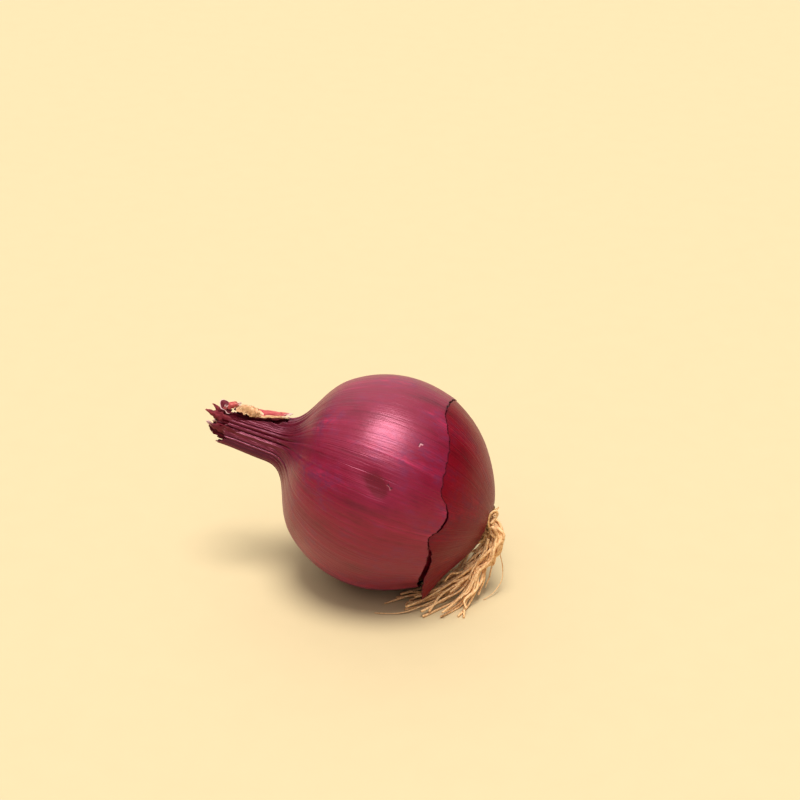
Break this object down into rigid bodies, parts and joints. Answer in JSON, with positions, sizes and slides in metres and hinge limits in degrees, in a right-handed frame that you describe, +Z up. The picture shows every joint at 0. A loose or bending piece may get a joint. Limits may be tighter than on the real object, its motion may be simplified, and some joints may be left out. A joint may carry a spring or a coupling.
{
  "type": "onion",
  "caption": "Whole dried red onion lying on its side, with a split papery outer skin, a pleated dry neck and a tuft of roots.",
  "frame": {"origin": "middle of the small flat spot on the underside that the onion rests on", "axes": "+Z up, +X towards the root end and -X towards the neck, which is lifted 19 degrees off the level, +Y to the side away from the sweep of the roots"},
  "size_m": [0.1061, 0.075, 0.074],
  "materials": {
    "inner_scale": "smooth, moist red-purple fleshy scale",
    "outer_skin": "satin, papery red-purple dry skin with fine lengthwise veins",
    "root_end_skin": "satin, papery dark red dry skin with fine lengthwise veins",
    "root_plate": "matt, corky tan-brown",
    "dry_root": "matt, wiry tan dried root",
    "pale_dry_leaf": "matt, tan papery dry leaf",
    "coral_dry_leaf": "matt, coral-red papery dry leaf",
    "dark_dry_leaf": "satin, dark red papery dry leaf"
  },
  "bodies": {
    "root": {"bulb": "inner_scale", "outer_skin": "outer_skin", "root_end_skin": "root_end_skin", "root_plate": "root_plate", "root_01": "dry_root", "root_02": "dry_root", "root_03": "dry_root", "root_04": "dry_root", "root_05": "dry_root", "root_06": "dry_root", "root_07": "dry_root", "root_08": "dry_root", "root_09": "dry_root", "root_10": "dry_root", "root_11": "dry_root", "root_12": "dry_root", "root_13": "dry_root", "root_14": "dry_root", "root_15": "dry_root", "root_16": "dry_root", "root_17": "dry_root", "root_18": "dry_root", "root_19": "dry_root", "root_20": "dry_root", "root_21": "dry_root", "upper_leaf_point": "dark_dry_leaf", "middle_leaf_point": "dark_dry_leaf", "pale_edged_leaf": "coral_dry_leaf", "curled_leaf_tip": "coral_dry_leaf", "rolled_leaf": "coral_dry_leaf", "tan_leaf_flake": "pale_dry_leaf", "coral_leaf_strip": "coral_dry_leaf", "pale_leaf_strip": "pale_dry_leaf"}
  },
  "joints": []
}
